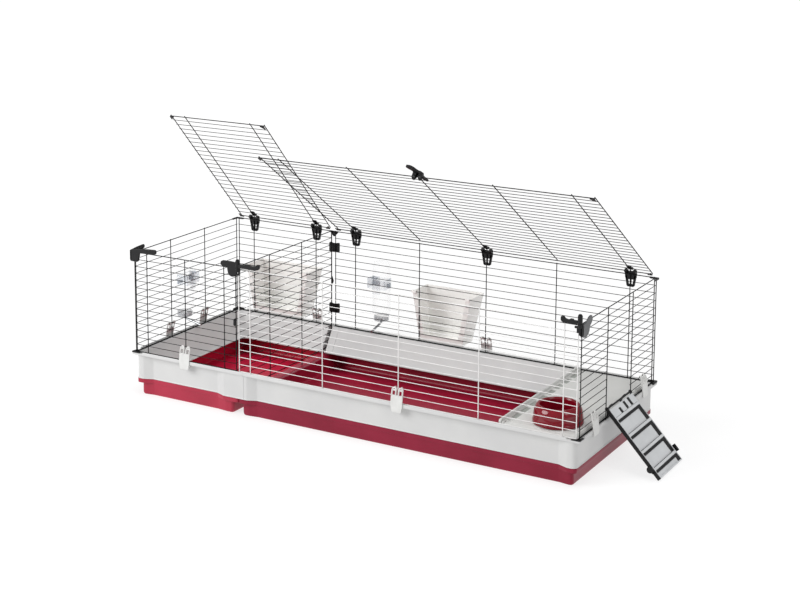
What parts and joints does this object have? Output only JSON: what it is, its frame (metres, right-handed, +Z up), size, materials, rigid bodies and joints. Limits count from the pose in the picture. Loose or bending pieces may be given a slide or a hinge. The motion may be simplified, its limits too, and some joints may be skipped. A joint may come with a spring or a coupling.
{
  "type": "rabbit cage",
  "caption": "Long two-module rabbit cage with plastic trays, wire walls, swing-up wire lids, a partition, doorway ramp, feeding shelf with bowl, hay racks and water bottles.",
  "frame": {"origin": "on the floor, at the middle of the base in plan", "axes": "+X along the length towards the ramp end, +Y towards the back wall with the lid hinges, +Z up"},
  "size_m": [1.8378, 0.6976, 0.9069],
  "materials": {
    "red_tray": "moulded, satin gloss",
    "pale_grey_plastic": "moulded, fine grain",
    "black_wire": "powder coat",
    "white_wire": "powder coat",
    "black_plastic": "moulded",
    "strap_white": "moulded",
    "light_grey_shelf": "moulded",
    "dark_red_gloss": "gloss",
    "rack_grey": "moulded",
    "ramp_grey": "moulded",
    "clear_bottle": "clear",
    "clear_bracket": "clear",
    "cap_grey": "moulded",
    "steel": "drawn tube"
  },
  "bodies": {
    "cage": {"back_brackets": "black_plastic", "back_panel_large": "black_wire", "back_panel_small": "black_wire", "bottle_bracket_large": "clear_bracket", "bottle_bracket_small": "clear_bracket", "bottom_corner_clips": "black_plastic", "connector_front_left": "black_plastic", "connector_front_middle": "black_plastic", "connector_front_right": "black_plastic", "end_panel_large": "black_wire", "end_panel_small": "black_wire", "front_panel_large": "white_wire", "front_panel_small": "black_wire", "lid_hinge_clips_large": "black_plastic", "lid_hinge_clips_small": "black_plastic", "panel_joint_clips": "black_plastic", "surround_large": "pale_grey_plastic", "surround_small": "pale_grey_plastic", "tray_large": "red_tray", "tray_small": "red_tray"},
    "lid_small": {"lid_small": "black_wire", "lid_corner_caps_small": "black_plastic", "lid_knuckles_small": "black_plastic"},
    "lid_large": {"lid_large": "black_wire", "lid_corner_caps_large": "black_plastic", "lid_knuckles_large": "black_plastic"},
    "lid_latch": {"lid_latch": "black_plastic"},
    "lever_middle": {"lever_middle": "black_plastic"},
    "lever_front_right": {"lever_front_right": "black_plastic"},
    "partition": {"partition_panel": "black_wire", "partition_catch": "black_plastic"},
    "ramp_hooks": {"ramp_hooks": "black_plastic"},
    "ramp": {"ramp_deck": "ramp_grey", "ramp_rails": "black_plastic"},
    "ramp_latch_front": {"ramp_latch_front": "black_plastic"},
    "ramp_latch_back": {"ramp_latch_back": "black_plastic"},
    "platform": {"feeding_platform": "light_grey_shelf"},
    "bowl": {"feeding_bowl": "dark_red_gloss"},
    "hay_rack_small": {"hay_rack_small": "rack_grey"},
    "hay_rack_large": {"hay_rack_large": "rack_grey"},
    "bottle_small": {"bottle_small": "clear_bottle", "bottle_cap_small": "cap_grey", "bottle_spout_small": "steel", "drip_ball_small": "steel"},
    "bottle_large": {"bottle_large": "clear_bottle", "bottle_cap_large": "cap_grey", "bottle_spout_large": "steel", "drip_ball_large": "steel"},
    "base_clip_front_small": {"base_clip_front_small": "strap_white"},
    "base_clip_front_large": {"base_clip_front_large": "strap_white"},
    "base_clip_back_small": {"base_clip_back_small": "strap_white"},
    "base_clip_back_large": {"base_clip_back_large": "strap_white"},
    "base_clip_left_front": {"base_clip_left_front": "strap_white"},
    "base_clip_left_back": {"base_clip_left_back": "strap_white"},
    "base_clip_right_front": {"base_clip_right_front": "strap_white"},
    "base_clip_right_back": {"base_clip_right_back": "strap_white"}
  },
  "joints": [
    {"name": "lid_small_swing", "type": "hinge", "parent": "cage", "child": "lid_small", "pos_m": [-0.588, 0.29, 0.4878], "axis": [-1, 0, 0], "range_deg": [-46.5, 58.5]},
    {"name": "lid_large_swing", "type": "hinge", "parent": "cage", "child": "lid_large", "pos_m": [0.202, 0.29, 0.4878], "axis": [-1, 0, 0], "range_deg": [-35, 70]},
    {"name": "lid_latch_turn", "type": "hinge", "parent": "lid_large", "child": "lid_latch", "pos_m": [0.202, -0.17855, 0.81589], "axis": [-1, 0, 0], "range_deg": [-90, 0]},
    {"name": "lever_middle_turn", "type": "hinge", "parent": "cage", "child": "lever_middle", "pos_m": [-0.371, -0.2988, 0.4869], "axis": [0, 0, -1], "range_deg": [0, 90]},
    {"name": "lever_front_right_turn", "type": "hinge", "parent": "cage", "child": "lever_front_right", "pos_m": [0.79, -0.2988, 0.4869], "axis": [0, 0, 1], "range_deg": [0, 90]},
    {"name": "partition_lift", "type": "slide", "parent": "cage", "child": "partition", "axis": [0, 0, 1], "range_m": [0, 0.43]},
    {"name": "ramp_shift", "type": "slide", "parent": "cage", "child": "ramp_hooks", "axis": [0, 1, 0], "range_m": [0, 0.03]},
    {"name": "ramp_fold", "type": "hinge", "parent": "ramp_hooks", "child": "ramp", "pos_m": [0.803, -0.03, 0.1842], "axis": [0, -1, 0], "range_deg": [0, 136.9]},
    {"name": "ramp_latch_front_turn", "type": "hinge", "parent": "ramp", "child": "ramp_latch_front", "pos_m": [0.94256, -0.122, 0.02993], "axis": [0, -1, 0], "range_deg": [0, 90]},
    {"name": "ramp_latch_back_turn", "type": "hinge", "parent": "ramp", "child": "ramp_latch_back", "pos_m": [0.94256, 0.062, 0.02993], "axis": [0, -1, 0], "range_deg": [0, 90]},
    {"name": "platform_lift", "type": "slide", "parent": "cage", "child": "platform", "axis": [0, 0, 1], "range_m": [0, 0.1]},
    {"name": "bowl_lift", "type": "slide", "parent": "platform", "child": "bowl", "axis": [0, 0, 1], "range_m": [0, 0.08]},
    {"name": "hay_rack_small_lift", "type": "slide", "parent": "cage", "child": "hay_rack_small", "axis": [0, 0, 1], "range_m": [0, 0.012]},
    {"name": "hay_rack_large_lift", "type": "slide", "parent": "cage", "child": "hay_rack_large", "axis": [0, 0, 1], "range_m": [0, 0.012]},
    {"name": "bottle_small_pull", "type": "slide", "parent": "cage", "child": "bottle_small", "axis": [-1, 0, 0], "range_m": [0, 0.06]},
    {"name": "bottle_large_pull", "type": "slide", "parent": "cage", "child": "bottle_large", "axis": [0, 1, 0], "range_m": [0, 0.06]},
    {"name": "base_clip_front_small_swing", "type": "hinge", "parent": "cage", "child": "base_clip_front_small", "pos_m": [-0.5835, -0.28748, 0.1921], "axis": [-1, 0, 0], "range_deg": [0, 75]},
    {"name": "base_clip_front_large_swing", "type": "hinge", "parent": "cage", "child": "base_clip_front_large", "pos_m": [0.204, -0.28748, 0.1921], "axis": [-1, 0, 0], "range_deg": [0, 75]},
    {"name": "base_clip_back_small_swing", "type": "hinge", "parent": "cage", "child": "base_clip_back_small", "pos_m": [-0.458, 0.28748, 0.1921], "axis": [1, 0, 0], "range_deg": [0, 75]},
    {"name": "base_clip_back_large_swing", "type": "hinge", "parent": "cage", "child": "base_clip_back_large", "pos_m": [0.202, 0.28748, 0.1921], "axis": [1, 0, 0], "range_deg": [0, 75]},
    {"name": "base_clip_left_front_swing", "type": "hinge", "parent": "cage", "child": "base_clip_left_front", "pos_m": [-0.78748, -0.095, 0.1921], "axis": [0, 1, 0], "range_deg": [0, 75]},
    {"name": "base_clip_left_back_swing", "type": "hinge", "parent": "cage", "child": "base_clip_left_back", "pos_m": [-0.78748, 0.095, 0.1921], "axis": [0, 1, 0], "range_deg": [0, 75]},
    {"name": "base_clip_right_front_swing", "type": "hinge", "parent": "cage", "child": "base_clip_right_front", "pos_m": [0.78748, -0.19, 0.1921], "axis": [0, -1, 0], "range_deg": [0, 75]},
    {"name": "base_clip_right_back_swing", "type": "hinge", "parent": "cage", "child": "base_clip_right_back", "pos_m": [0.78748, 0.19, 0.1921], "axis": [0, -1, 0], "range_deg": [0, 75]}
  ]
}
